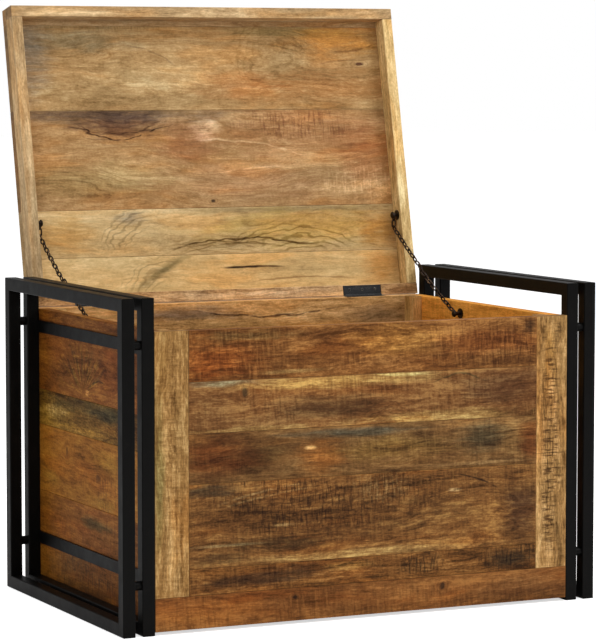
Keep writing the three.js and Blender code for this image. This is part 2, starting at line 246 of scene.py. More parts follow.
@dataclass(frozen=True)
class Layer:
    """A noise: its cells in a metre along and across the grain, its detail and roughness, and its share."""

    along: float
    across: float
    detail: float = 3.0
    roughness: float = 0.5
    share: float = 1.0

    def read(self, graph: Graph, vector: object) -> Socket:
        """Adds the noise to a tree.

        Args:
            graph: the tree.
            vector: where the noise is read.

        Returns:
            Its value, about 0.25 to 0.75.
        """
        cells = graph.vector("MULTIPLY", vector, (self.along, self.across, self.across))
        settings = {"Vector": cells, "Scale": 1.0, "Detail": self.detail, "Roughness": self.roughness}
        return graph.fill(graph.add("TexNoise"), settings).outputs["Fac"]

    def mask(self, graph: Graph, vector: object, start: float, end: float) -> Socket:
        """The noise as a smooth step from 0 at start to 1 at end."""
        return graph.fade(self.read(graph, vector), start, end)

    def swing(self, graph: Graph, vector: object) -> Socket:
        """The noise round zero, as strong as its share."""
        return graph.centred(self.read(graph, vector), self.share)


class Kind(Enum):
    """The kinds of socket that the node groups use."""

    NUMBER = "NodeSocketFloat"
    VECTOR = "NodeSocketVector"
    COLOUR = "NodeSocketColor"


@dataclass
class Group:
    """A shader node group while it is being built."""

    name: str
    inputs: dict[str, Kind]
    outputs: dict[str, Kind]

    def __post_init__(self) -> None:
        """Makes the empty group with its sockets."""
        self.tree = bpy.data.node_groups.new(self.name, "ShaderNodeTree")
        for way, sockets in (("INPUT", self.inputs), ("OUTPUT", self.outputs)):
            for label, kind in sockets.items():
                self.tree.interface.new_socket(label, in_out=way, socket_type=kind.value)
        self.graph = Graph(self.tree)
        self.given = self.tree.nodes.new("NodeGroupInput").outputs
        self.result = self.tree.nodes.new("NodeGroupOutput").inputs

    def give(self, **results: Socket) -> bpy.types.NodeTree:
        """Links the results to the outputs of the same names and gives the finished group."""
        for label, value in results.items():
            self.graph.put(self.result[label.capitalize()], value)
        return self.tree


@dataclass(frozen=True)
class WoodGrain:
    """Long wood grain with bands, fibres, pores, blotches and saw marks."""

    seed_steps: Point = (1.7, 2.3, 0.9)
    drift: Layer = Layer(2.6, 8.0, 2.0)
    curl: Layer = Layer(12.0, 30.0, 2.0, share=0.011)
    broad: Layer = Layer(2.2, 12.0, share=1.7)
    band: Layer = Layer(5.0, 62.0, 4.0, 0.6, 1.3)
    streak: Layer = Layer(15.0, 220.0, 3.0, 0.65, 1.1)
    dash: Layer = Layer(75.0, 430.0, 2.0, 0.7, 1.05)
    grit: Layer = Layer(240.0, 330.0, 2.0, 0.6, 0.7)
    mottle: Layer = Layer(34.0, 80.0, 4.0, 0.65, 1.15)
    pores: Layer = Layer(80.0, 900.0, 1.0)
    pore_depth: float = 0.3
    rings_per_swell: float = 85.0
    ring_depth: float = 0.26
    ring_patches: Layer = Layer(6.0, 14.0, 2.0)
    warmth: Layer = Layer(5.0, 22.0, 3.0, 0.6)
    warm: Colour = (1.09, 0.96, 0.80)
    cool: Colour = (0.94, 0.99, 1.04)
    cuts: Layer = Layer(250.0, 24.0, 2.0, 0.6)
    cut_turn: float = math.radians(4)
    cut_patches: Layer = Layer(8.0, 15.0, 2.0)
    ridge_glint: float = 0.32
    groove_shade: float = 0.6
    gloss: float = 0.58
    gloss_swing: float = -0.2
    streak_height: float = 0.5
    dash_height: float = 0.4
    pore_height: float = -0.4
    cut_height: float = 0.6

    def build(self) -> bpy.types.NodeTree:
        """Builds the group.

        Returns:
            A group that turns a board's own coordinates into colour, roughness and height.
        """
        number, shade = Kind.NUMBER, Kind.COLOUR
        group = Group(
            "wood_grain",
            {"Vector": Kind.VECTOR, "Seed": number, "Dark": shade, "Mid": shade, "Light": shade,
             "Figure": number, "Contrast": number, "Saw": number},
            {"Colour": shade, "Roughness": number, "Height": number},
        )
        graph, given = group.graph, group.given
        offset = graph.combine(*(graph.scaled(given["Seed"], step) for step in self.seed_steps))
        place = graph.vector("ADD", given["Vector"], offset)
        wander = graph.sum(
            graph.scaled(self.drift.swing(graph, place), given["Figure"]), self.curl.swing(graph, place))
        flow = graph.vector("ADD", place, graph.combine(0.0, wander, wander))
        layers = {layer: layer.read(graph, flow) for layer in (self.broad, self.band, self.streak, self.dash)}
        layers.update({layer: layer.read(graph, place) for layer in (self.grit, self.mottle)})
        level = self.level(graph, layers, place, given["Contrast"])
        pores = self.pores.mask(graph, flow, 0.36, 0.29)
        ridge, groove = self.saw_cuts(graph, place, given["Saw"])
        low = graph.mix(graph.fade(level, -0.12, 0.6), given["Dark"], given["Mid"])
        colour = graph.mix(graph.fade(level, 0.42, 1.12), low, given["Light"])
        warmth = self.warmth.read(graph, flow)
        colour = graph.mix(graph.fade(warmth, 0.5, 0.66), colour, self.warm, "MULTIPLY")
        colour = graph.mix(graph.fade(warmth, 0.5, 0.34), colour, self.cool, "MULTIPLY")
        # Painted highlight on the saw ridges and painted shade in the saw grooves, over the grain's colour
        colour = graph.mix(graph.scaled(ridge, self.ridge_glint), colour, given["Light"])
        colour = graph.mix(graph.scaled(groove, self.groove_shade), colour, given["Dark"])
        colour = graph.mix(graph.scaled(pores, self.pore_depth), colour, given["Dark"])
        relief = (
            (layers[self.streak], self.streak_height), (layers[self.dash], self.dash_height),
            (pores, self.pore_height), (ridge, self.cut_height), (groove, -self.cut_height))
        return group.give(
            colour=colour,
            roughness=graph.math("ADD", self.gloss, graph.centred(level, self.gloss_swing), clamp=True),
            height=graph.sum(*(graph.scaled(part, share) for part, share in relief)))

    def level(self, graph: Graph, layers: dict[Layer, Socket], place: Socket, contrast: Socket) -> Socket:
        """How light the wood is, from the grain's layers and its rings.

        Args:
            graph: the group's tree.
            layers: the layers and what each one reads.
            place: the board's coordinates.
            contrast: how strongly the layers show.

        Returns:
            A value of about 0 to 1.
        """
        swings = [graph.centred(value, layer.share) for layer, value in layers.items()]
        waves = graph.math("SINE", graph.scaled(layers[self.broad], self.rings_per_swell))
        shown = self.ring_patches.mask(graph, place, 0.42, 0.62)
        rings = graph.scaled(graph.fade(waves, 0.3, 1.0), shown, -self.ring_depth)
        return graph.sum(graph.scaled(graph.sum(*swings, rings), contrast), 0.5)

    def saw_cuts(self, graph: Graph, place: Socket, strength: Socket) -> tuple[Socket, Socket]:
        """The ridges and the grooves that the saw left, both where they show.

        Args:
            graph: the group's tree.
            place: the board's coordinates.
            strength: how strongly the cuts show.

        Returns:
            The masks of the ridges and of the grooves.
        """
        cuts = self.cuts.read(graph, graph.mapping(place, (0, 0, 0), (0, 0, self.cut_turn)))
        shown = graph.scaled(self.cut_patches.mask(graph, place, 0.36, 0.6), strength)
        ridge, groove = graph.fade(cuts, 0.52, 0.66), graph.fade(cuts, 0.48, 0.36)
        return graph.scaled(ridge, shown), graph.scaled(groove, shown)


@dataclass(frozen=True)
class Spot:
    """Where a mark is drawn: the board's coordinates, the mark's own, and its rise in metres."""

    graph: Graph
    place: Socket
    local: Socket
    rise: Socket
    vein_rim: float = 0.0022
    vein_core: float = 0.0004
    arch_lines: float = 17.0
    ray_drift: float = 0.22
    hatch_share: float = 0.6
    knot_rings: float = 8.0
    ring_share: float = 0.28

    def reach(self) -> Socket:
        """How far a point is from the mark's middle, which is 1 at its rim."""
        return self.graph.vector("LENGTH", self.graph.vector("MULTIPLY", self.local, (1, 1, 0)))

    def ragged(self, amount: float, inside: float, outside: float) -> Socket:
        """The mark's patch with a rim that is uneven along the grain.

        Args:
            amount: how uneven the rim is.
            inside: the reach up to which the patch is full.
            outside: the reach at which it ends.

        Returns:
            The patch's mask.
        """
        cloud = Layer(14.0, 40.0, 4.0, 0.6, 1.6 * amount).swing(self.graph, self.place)
        comb = Layer(13.0, 210.0, share=0.9 * amount).swing(self.graph, self.place)
        return self.graph.fade(self.graph.sum(self.reach(), cloud, comb), outside, inside)

    def bow(self, wobble: float) -> tuple[Socket, Socket]:
        """How far a point lies above a bow through the mark's middle, and its place along it."""
        x, y, _ = self.graph.split(self.local)
        waver = Layer(22.0, 50.0, 2.0, share=wobble).swing(self.graph, self.place)
        return self.graph.sum(y, self.graph.scaled(x, x), waver), x

    def stain(self) -> Socket:
        """A soft patch with a ragged outline, broken up along the grain."""
        broken = Layer(30.0, 170.0, 4.0, 0.7).mask(self.graph, self.place, 0.1, 0.52)
        return self.graph.scaled(self.ragged(1.0, 0.25, 1.35), broken)

    def vein(self) -> Socket:
        """One thin bowed line that thins out at its ends."""
        graph = self.graph
        above, x = self.bow(0.9)
        away = graph.scaled(graph.math("ABSOLUTE", above), self.rise)
        line = graph.fade(away, self.vein_rim, self.vein_core)
        ends = graph.fade(graph.math("ABSOLUTE", x), 1.0, 0.6)
        broken = Layer(45.0, 120.0, 2.0).mask(graph, self.place, 0.3, 0.5)
        return graph.scaled(line, ends, broken)

    def arches(self) -> Socket:
        """Nested bowed lines, as where a board cuts through the tree's layers."""
        above, _ = self.bow(1.1)
        lines = self.graph.fade(self.graph.math("SINE", self.graph.scaled(above, self.arch_lines)), 0.1, 1.0)
        return self.graph.scaled(lines, self.ragged(0.7, 0.5, 1.15))

    def fan(self) -> Socket:
        """Lines that spread upwards from a point, as where a branch grew."""
        graph = self.graph
        outward = graph.vector("NORMALIZE", graph.vector("MULTIPLY", self.local, (1, 1, 0)))
        drift = graph.vector("MULTIPLY", self.local, (self.ray_drift, self.ray_drift, 0))
        turned = graph.vector("ADD", outward, drift)
        rays = Layer(7.0, 7.0, 4.0).mask(graph, turned, 0.48, 0.6)
        worn = Layer(90.0, 90.0).mask(graph, self.place, 0.2, 0.5)
        upper = graph.fade(graph.split(self.local)[1], -0.1, 0.35)
        return graph.scaled(rays, worn, upper, self.ragged(0.8, 0.3, 1.1))

    def sawn(self) -> Socket:
        """Short cuts across the grain, left by the saw, and finer ones along it."""
        graph = self.graph
        cuts = Layer(270.0, 42.0, 3.0, 0.6).mask(graph, self.place, 0.54, 0.38)
        hatch = Layer(45.0, 330.0, 2.0, 0.6).mask(graph, self.place, 0.5, 0.36)
        lines = graph.math("MAXIMUM", cuts, graph.scaled(hatch, self.hatch_share))
        return graph.scaled(lines, self.ragged(1.0, 0.5, 1.3))

    def knot(self) -> Socket:
        """A dark core with faint rings round it."""
        graph = self.graph
        uneven = graph.sum(self.reach(), Layer(110.0, 150.0, share=0.9).swing(graph, self.place))
        rings = graph.fade(graph.math("SINE", graph.scaled(uneven, self.knot_rings)), 0.1, 0.9)
        rings = graph.scaled(rings, graph.fade(uneven, 3.3, 1.0), self.ring_share)
        return graph.math("MAXIMUM", graph.fade(uneven, 1.05, 0.5), rings)


class MarkKind(Enum):
    """The kinds of mark that a board shows over its grain."""

    STAIN = "stain"
    VEIN = "vein"
    ARCHES = "arches"
    FAN = "fan"
    SAWN = "saw_cuts"
    KNOT = "knot"


class Effects:
    """The shader node groups that the finishes share, each built once."""

    SEED_STEP: float = 3.1
    KNOT_SHARES: Point = (0.35, 0.6, 0.0)
    KNOT_PUSH: float = -0.75
    END_RIM: float = 0.0006
    END_CORE: float = 0.0002
    CROSS_ARM: float = 0.26
    CLOUD_GLOSS: float = 0.3
    DRAWN: dict[MarkKind, Callable[[Spot], Socket]] = {
        MarkKind.STAIN: Spot.stain, MarkKind.VEIN: Spot.vein, MarkKind.ARCHES: Spot.arches,
        MarkKind.FAN: Spot.fan, MarkKind.SAWN: Spot.sawn, MarkKind.KNOT: Spot.knot,
    }

    def __init__(self) -> None:
        """Builds every group."""
        self.grain = WoodGrain().build()
        self.bend = self.build_bend()
        self.edge = self.build_edge()
        self.cross = self.build_cross()
        self.wear = self.build_wear()
        self.marks = {kind: self.build_mark(kind, draw) for kind, draw in self.DRAWN.items()}

    @staticmethod
    def build_mark(kind: MarkKind, draw: Callable[[Spot], Socket]) -> bpy.types.NodeTree:
        """Builds the group of one kind of mark.

        Args:
            kind: the kind of mark.
            draw: the method that draws its mask.

        Returns:
            A group that gives the mark's mask.
        """
        number, vector = Kind.NUMBER, Kind.VECTOR
        inputs = {"Vector": vector, "Local": vector, "Rise": number, "Seed": number}
        group = Group("board_" + kind.value, inputs, {"Mask": number})
        graph, given = group.graph, group.given
        seed = graph.scaled(given["Seed"], Effects.SEED_STEP)
        place = graph.vector("ADD", given["Vector"], graph.combine(seed, seed))
        return group.give(mask=draw(Spot(graph, place, given["Local"], given["Rise"])))

    @staticmethod
    def build_bend() -> bpy.types.NodeTree:
        """Grain that parts round a knot.

        Returns:
            A group that bends a board's coordinates round a knot's centre.
        """
        inputs = {"Vector": Kind.VECTOR, "Local": Kind.VECTOR, "Rise": Kind.NUMBER}
        group = Group("grain_round_knot", inputs, {"Vector": Kind.VECTOR})
        graph, given = group.graph, group.given
        _, y, _ = graph.split(given["Local"])
        reach = graph.vector("LENGTH", graph.vector("MULTIPLY", given["Local"], Effects.KNOT_SHARES))
        pull = graph.math("EXPONENT", graph.scaled(reach, reach, -1.0))
        move = graph.scaled(y, pull, given["Rise"], Effects.KNOT_PUSH)
        return group.give(vector=graph.vector("ADD", given["Vector"], graph.combine(0.0, move)))

    @staticmethod
    def build_edge() -> bpy.types.NodeTree:
        """Rubbed arrises and the sawn ends of a board.

        Returns:
            A group that gives a mask of the arrises and one of the ends.
        """
        group = Group(
            "board_edges",
            {"Vector": Kind.VECTOR, "Centre": Kind.VECTOR, "Half": Kind.VECTOR, "Width": Kind.NUMBER},
            {"Edge": Kind.NUMBER, "End": Kind.NUMBER},
        )
        graph, given = group.graph, group.given
        away = graph.vector("ABSOLUTE", graph.vector("SUBTRACT", given["Vector"], given["Centre"]))
        inward = graph.split(graph.vector("SUBTRACT", given["Half"], away))
        near = [graph.fade(graph.math("DIVIDE", part, given["Width"]), 1.0, 0.0) for part in inward]
        pairs = [graph.scaled(near[a], near[b]) for a, b in ((0, 1), (1, 2), (0, 2))]
        edge = graph.math("MAXIMUM", graph.math("MAXIMUM", pairs[0], pairs[1]), pairs[2])
        rubbed = Layer(60.0, 60.0).mask(graph, given["Vector"], 0.36, 0.6)
        end = graph.fade(inward[0], Effects.END_RIM, Effects.END_CORE)
        return group.give(edge=graph.scaled(edge, rubbed), end=end)

    @staticmethod
    def build_cross() -> bpy.types.NodeTree:
        """The cross recesses of a row of screw heads.

        Returns:
            A group that gives a mask of the recesses, one in each pitch along X.
        """
        inputs = {"Vector": Kind.VECTOR, "Reach": Kind.NUMBER, "Pitch": Kind.NUMBER}
        group = Group("cross_recess", inputs, {"Mask": Kind.NUMBER})
        graph, given = group.graph, group.given
        x, y, _ = graph.split(given["Vector"])
        half = graph.scaled(given["Pitch"], 0.5)
        x = graph.math("ABSOLUTE", graph.math("WRAP", x, half, graph.scaled(half, -1.0)))
        y = graph.math("ABSOLUTE", y)
        arm = graph.scaled(given["Reach"], Effects.CROSS_ARM)
        bars = [
            graph.scaled(graph.math("LESS_THAN", long, given["Reach"]), graph.math("LESS_THAN", short, arm))
            for long, short in ((x, y), (y, x))]
        return group.give(mask=graph.math("MAXIMUM", *bars))

    @staticmethod
    def build_wear() -> bpy.types.NodeTree:
        """Uneven gloss, rubbed spots and a fine surface on metal.

        Returns:
            A group that gives the metal's colour, roughness and height.
        """
        number, shade = Kind.NUMBER, Kind.COLOUR
        group = Group(
            "metal_surface",
            {"Vector": Kind.VECTOR, "Cells": number, "Wear": number, "Base": shade, "Worn": shade,
             "Gloss": number},
            {"Colour": shade, "Roughness": number, "Height": number},
        )
        graph, given = group.graph, group.given
        size = given["Cells"]
        cells = graph.vector("MULTIPLY", given["Vector"], graph.combine(size, size, size))
        cloud = Layer(0.06, 0.06, 4.0, 0.6).read(graph, cells)
        speck = Layer(1.0, 1.0, 3.0, 0.6).read(graph, cells)
        rubbed = graph.scaled(graph.fade(graph.scaled(cloud, speck), 0.27, 0.4), given["Wear"])
        return group.give(
            colour=graph.mix(rubbed, given["Base"], given["Worn"]),
            roughness=graph.sum(given["Gloss"], graph.centred(cloud, Effects.CLOUD_GLOSS)),
            height=speck)


@dataclass(frozen=True)
class Mark:
    """A mark on a board, in millimetres along and across its panel: its middle, its reach and its tint."""

    kind: MarkKind
    x: float
    y: float
    long: float
    wide: float
    tint: int
    amount: float
    turn: float = 0.0

    def rise(self) -> float:
        """The mark's reach across the board in metres."""
        return abs(self.wide) * MILLIMETRE

    def local(self, graph: Graph, own: Socket) -> Socket:
        """Reads a panel's coordinates in the mark's frame."""
        place = (self.x * MILLIMETRE, self.y * MILLIMETRE, 0.0)
        size = (self.long * MILLIMETRE, self.wide * MILLIMETRE, 1.0)
        return graph.mapping(own, place, (0.0, 0.0, math.radians(self.turn)), size)


stain, vein, arches, fan, sawn, knot = (partial(Mark, kind) for kind in MarkKind)


def new_material(name: str) -> tuple[bpy.types.Material, Graph, bpy.types.Node]:
    """Starts a material.

    Args:
        name: its name.

    Returns:
        The material, its tree and its main shader.
    """
    material = bpy.data.materials.new(name)
    material.use_nodes = True
    return material, Graph(material.node_tree), material.node_tree.nodes["Principled BSDF"]


@dataclass(frozen=True)
class Bounds:
    """Where a board lies in its panel: the panel's origin, and the board's middle and half size in it."""

    origin: Vector
    centre: Vector
    half: Vector


@dataclass(frozen=True)
class WoodFinish:
    """One board's colours and marks, and how its grain, saw marks and arrises show."""

    dark: int
    mid: int
    light: int
    seed: float
    marks: tuple[Mark, ...] = ()
    figure: float = 0.05
    contrast: float = 1.0
    saw: float = 0.35
    rub: float = 0.3
    end_tint: int = 0x5A3A1E
    end_share: float = 0.5
    arris: float = 0.0018
    specular: float = 0.12
    relief: float = 0.3
    relief_depth: float = 0.0005

    def make(
        self, name: str, effects: Effects, lay: Lay, bounds: Bounds, varnish: Colour
    ) -> bpy.types.Material:
        """Makes the board's material.

        Args:
            name: the material's name.
            effects: the shared node groups.
            lay: how the board lies.
            bounds: where the board lies in its panel.
            varnish: what the varnish multiplies each colour by.

        Returns:
            The material.
        """

        def toned(code: int, depth: float = 1.0) -> Colour:
            """A colour of the bare board as it shows through the varnish."""
            return tuple(bare * cast * depth for bare, cast in zip(tone(code), varnish))

        material, graph, shader = new_material(name)
        own = graph.mapping(graph.add("TexCoord").outputs["Object"], bounds.origin, lay.basis().to_euler())
        marks = [(mark, mark.local(graph, own)) for mark in self.marks]
        flow = own
        for mark, local in marks:
            if mark.kind is MarkKind.KNOT:
                flow = graph.place(effects.bend, vector=flow, local=local, rise=mark.rise()).outputs[0]
        grain = graph.place(
            effects.grain, vector=flow, seed=self.seed, dark=toned(self.dark, DEEPEST), mid=toned(self.mid),
            light=toned(self.light, PALEST), figure=self.figure, contrast=self.contrast, saw=self.saw)
        colour = grain.outputs["Colour"]
        for index, (mark, local) in enumerate(marks):
            drawn = graph.place(
                effects.marks[mark.kind], vector=flow, local=local, rise=mark.rise(), seed=self.seed + index)
            amount = graph.scaled(drawn.outputs[0], mark.amount)
            colour = graph.mix(amount, colour, shift_between(self.mid, mark.tint), "MULTIPLY")
        edges = graph.place(
            effects.edge, vector=own, centre=tuple(bounds.centre), half=tuple(bounds.half), width=self.arris)
        colour = graph.mix(graph.scaled(edges.outputs["Edge"], self.rub), colour, toned(self.light))
        colour = graph.mix(graph.scaled(edges.outputs["End"], self.end_share), colour, toned(self.end_tint))
        graph.fill(shader, {
            "Base Color": colour, "Roughness": grain.outputs["Roughness"],
            "Specular IOR Level": self.specular,
            "Normal": graph.bump(grain.outputs["Height"], self.relief, self.relief_depth)})
        return material


@dataclass(frozen=True)
class Recess:
    """Cross recesses of screws in a row: the row's middle, its turn, and each cross's reach and pitch."""

    place: Point
    turn: Point
    reach: float
    pitch: float


@dataclass(frozen=True)
class MetalFinish:
    """A metal's colour, worn colour, gloss and surface unevenness."""

    name: str
    base: int
    worn: int
    metallic: float
    roughness: float
    cells: float
    wear: float
    relief: float
    specular: float = 0.5
    relief_depth: float = 0.0002
    recess_shade_colour: Colour = (0.003, 0.003, 0.003)

    def make(self, effects: Effects, recess: Recess | None = None) -> bpy.types.Material:
        """Makes the metal's material.

        Args:
            effects: the shared node groups.
            recess: the cross recesses, on screws.

        Returns:
            The material.
        """
        material, graph, shader = new_material(self.name)
        place = graph.add("TexCoord").outputs["Object"]
        surface = graph.place(
            effects.wear, vector=place, cells=self.cells, wear=self.wear, base=tone(self.base),
            worn=tone(self.worn), gloss=self.roughness)
        colour = surface.outputs["Colour"]
        if recess is not None:
            local = graph.mapping(place, recess.place, recess.turn)
            cross = graph.place(effects.cross, vector=local, reach=recess.reach, pitch=recess.pitch)
            # Near-black cross: painted shade standing for the depth of each screw's recess
            colour = graph.mix(cross.outputs[0], colour, self.recess_shade_colour)
        graph.fill(shader, {
            "Base Color": colour, "Roughness": surface.outputs["Roughness"], "Metallic": self.metallic,
            "Specular IOR Level": self.specular,
            "Normal": graph.bump(surface.outputs["Height"], self.relief, self.relief_depth)})
        return material


def dress(node: str, material: bpy.types.Material) -> None:
    """Gives a CAD node its material.

    Args:
        node: the node's name.
        material: its finish.
    """
    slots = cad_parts[node].data.materials
    slots.clear()
    slots.append(material)
    LOG.info("dressed %s", node)


def middle_of(node: str) -> Vector:
    """The middle of a CAD node's box."""
    low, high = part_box(node)
    return (low + high) / 2


@dataclass
class Board:
    """One board: its CAD node, the way it lies and its finish."""

    node: str
    lay: Lay
    finish: WoodFinish

    def dress(self, effects: Effects, origin: Vector, varnish: Colour) -> None:
        """Makes the board's own material and gives it to the node.

        Args:
            effects: the shared node groups.
            origin: the origin of the board's panel in the row frame.
            varnish: what the varnish multiplies each colour by.
        """
        turn = self.lay.basis().transposed()
        places = [turn @ (v.co - origin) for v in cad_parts[self.node].data.vertices]
        low, high = (Vector([pick(p[i] for p in places) for i in range(3)]) for pick in (min, max))
        bounds = Bounds(origin, (low + high) / 2, (high - low) / 2)
        dress(self.node, self.finish.make(self.node, effects, self.lay, bounds, varnish))


@dataclass
class Panel:
    """Boards that share one set of coordinates and one varnish."""

    origin: Vector
    boards: list[Board]
    varnish: Colour = (1.0, 1.0, 1.0)

    def dress(self, effects: Effects) -> None:
        """Dresses every board of the panel."""
        for board in self.boards:
            board.dress(effects, self.origin, self.varnish)


def numbered(name: str, lay: Lay, finishes: dict[int, WoodFinish]) -> list[Board]:
    """Boards whose nodes have one name and a number each."""
    return [Board(f"{name}_{index}", lay, finish) for index, finish in finishes.items()]


@dataclass
class FrontWall:
    """The box's front: a base plank, two stiles on it and five planks between them."""

    varnish: Colour = (0.99, 0.95, 0.76)

    def panel(self) -> Panel:
        """Gives each board of the front its finish.

        Returns:
            The panel, with X across and Z up from the floor.
        """
        low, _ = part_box("front_base_plank")
        return Panel(Vector((0, low.y, 0)), [*self.planks(), self.base(), *self.stiles()], self.varnish)

    def planks(self) -> list[Board]:
        """The five planks, from the top down."""
        finishes = {
            5: WoodFinish(0x623817, 0x7C4F28, 0x9F7042, 1.3, saw=0.7, marks=(
                stain(-245, 404, 75, 24, 0x87481C, 0.85), arches(-250, 412, 60, 36, 0x55300F, 0.55, 12),
                stain(50, 424, 80, 24, 0xA87238, 0.8), stain(-190, 438, 90, 10, 0x6E5634, 0.7),
                stain(281, 436, 14, 13, 0x2E1A0D, 0.85), stain(210, 414, 90, 18, 0x8A4C20, 0.6),
                sawn(230, 405, 90, 40, 0x4A2610, 0.6), stain(-120, 383, 55, 4, 0x9E7C4E, 0.7))),
            4: WoodFinish(0x5A3517, 0x774D2B, 0x997248, 2.9, saw=0.6, contrast=0.9, marks=(
                stain(-250, 372, 55, 7, 0x806C54, 0.75), stain(-50, 364, 170, 9, 0xA07C4C, 0.75),
                stain(65, 373, 55, 6, 0xA98658, 0.75), knot(-204, 354.5, 5.5, 10, 0x3A2818, 0.9),
                stain(-60, 325, 110, 18, 0x52341C, 0.95), arches(30, 314, 45, 20, 0x57381E, 0.6),
                vein(160, 366, 55, 16, 0x40321C, 0.7), stain(235, 345, 85, 30, 0x5C3A22, 0.9),
                stain(130, 303, 150, 10, 0xA98452, 0.75), stain(-200, 298, 100, 5, 0xA07C4C, 0.6))),
            3: WoodFinish(0x503218, 0x72502E, 0x947048, 4.1, saw=0.4, contrast=0.8, marks=(
                stain(-245, 260, 85, 36, 0x5C3114, 0.85), stain(-175, 258, 45, 18, 0x4E3A1E, 0.7),
                stain(-78, 252, 40, 30, 0x8C5424, 0.75), stain(-95, 266.5, 9, 3.2, 0xCCA878, 1.0),
                stain(-25, 286, 120, 7, 0x4C463A, 0.85), stain(40, 258, 90, 20, 0x846434, 0.65),
                stain(200, 268, 45, 24, 0x504430, 0.85), stain(250, 266, 22, 26, 0x9A764A, 0.6),
                stain(285, 250, 20, 35, 0x683818, 0.8), stain(200, 227, 80, 3, 0xA8845A, 0.7))),
            2: WoodFinish(0x4C2E14, 0x7C522C, 0xA47A48, 5.7, saw=0.4, figure=0.07, contrast=0.85, marks=(
                stain(-265, 208, 55, 12, 0x352A1E, 0.85), vein(-175, 204, 80, 4, 0xB08C60, 0.7, 10),
                vein(-165, 198, 80, 4, 0xA88458, 0.6, 9), sawn(-110, 180, 150, 50, 0x442812, 0.9, -6),
                sawn(60, 190, 90, 40, 0x4E3016, 0.7), sawn(25, 202, 45, 26, 0xA8855A, 0.6),
                arches(20, 160, 180, 50, 0x57381C, 0.45), stain(151, 187.5, 11, 2.8, 0xCDA678, 0.9),
                stain(-139, 152, 20, 2.5, 0xA88458, 0.8), vein(190, 203, 45, 6, 0x3A2412, 0.9, -20),
                stain(270, 150, 36, 45, 0x42291A, 0.85), stain(-145, 123.5, 95, 11, 0x3C2814, 0.85),
                stain(-230, 127, 80, 2, 0xA2825A, 0.8), stain(-20, 101, 195, 7, 0xA07A4C, 0.85),
                stain(-240, 106, 45, 10, 0x402A16, 0.7))),
            1: WoodFinish(0x4E3014, 0x7C5028, 0x9E7242, 7.7, saw=0.6, marks=(
                stain(-180, 74, 120, 13, 0x3C2616, 0.9, 4), stain(-250, 88, 60, 6, 0x86562A, 0.7),
                stain(-30, 82, 45, 8, 0xA07A48, 0.75), sawn(95, 76, 40, 18, 0x32200F, 0.8),
                stain(250, 73, 48, 14, 0x31271A, 0.8), sawn(245, 76, 55, 22, 0x2E1C0E, 0.8))),
        }
        return numbered("front_plank", Lay.FRONT, finishes)

    def base(self) -> Board:
        """The plank that runs along the bottom."""
        finish = WoodFinish(0x603818, 0x7E4E27, 0x9A683A, 9.2, saw=0.6, contrast=0.8, marks=(
            knot(-121.5, 41, 6, 4, KNOT_BROWN, 0.9), knot(130, 39.5, 5.2, 7, KNOT_BROWN, 0.9),
            stain(-260, 30, 90, 22, 0x8C5020, 0.6), stain(270, 30, 90, 22, 0x6A4426, 0.6),
            sawn(0, 30, 330, 30, 0x5C3A1A, 0.35)))
        return Board("front_base_plank", Lay.FRONT, finish)

    def stiles(self) -> list[Board]:
        """The two upright boards, whose coordinates run up and then across."""
        left = WoodFinish(0x7C5428, 0x9E7648, 0xBE9A6C, 10.5, saw=0.45, marks=(
            stain(235, -343, 110, 10, 0x7C6C3E, 0.7), stain(120, -318, 80, 16, 0xB89466, 0.6),
            stain(400, -335, 60, 12, 0x8A6434, 0.6), sawn(280, -322, 160, 26, 0x6E4A24, 0.5)))
        right = WoodFinish(0x805A30, 0xB08656, 0xD0A87A, 11.5, marks=(
            sawn(260, 320, 200, 18, 0x4E3016, 0.9), stain(235.5, 320, 1.1, 40, 0x4A3018, 0.9),
            stain(385, 318, 50, 12, 0xA87838, 0.5), stain(110, 335, 60, 12, 0x846038, 0.5)))
        return [Board("front_left_stile", Lay.UPRIGHT, left), Board("front_right_stile", Lay.UPRIGHT, right)]


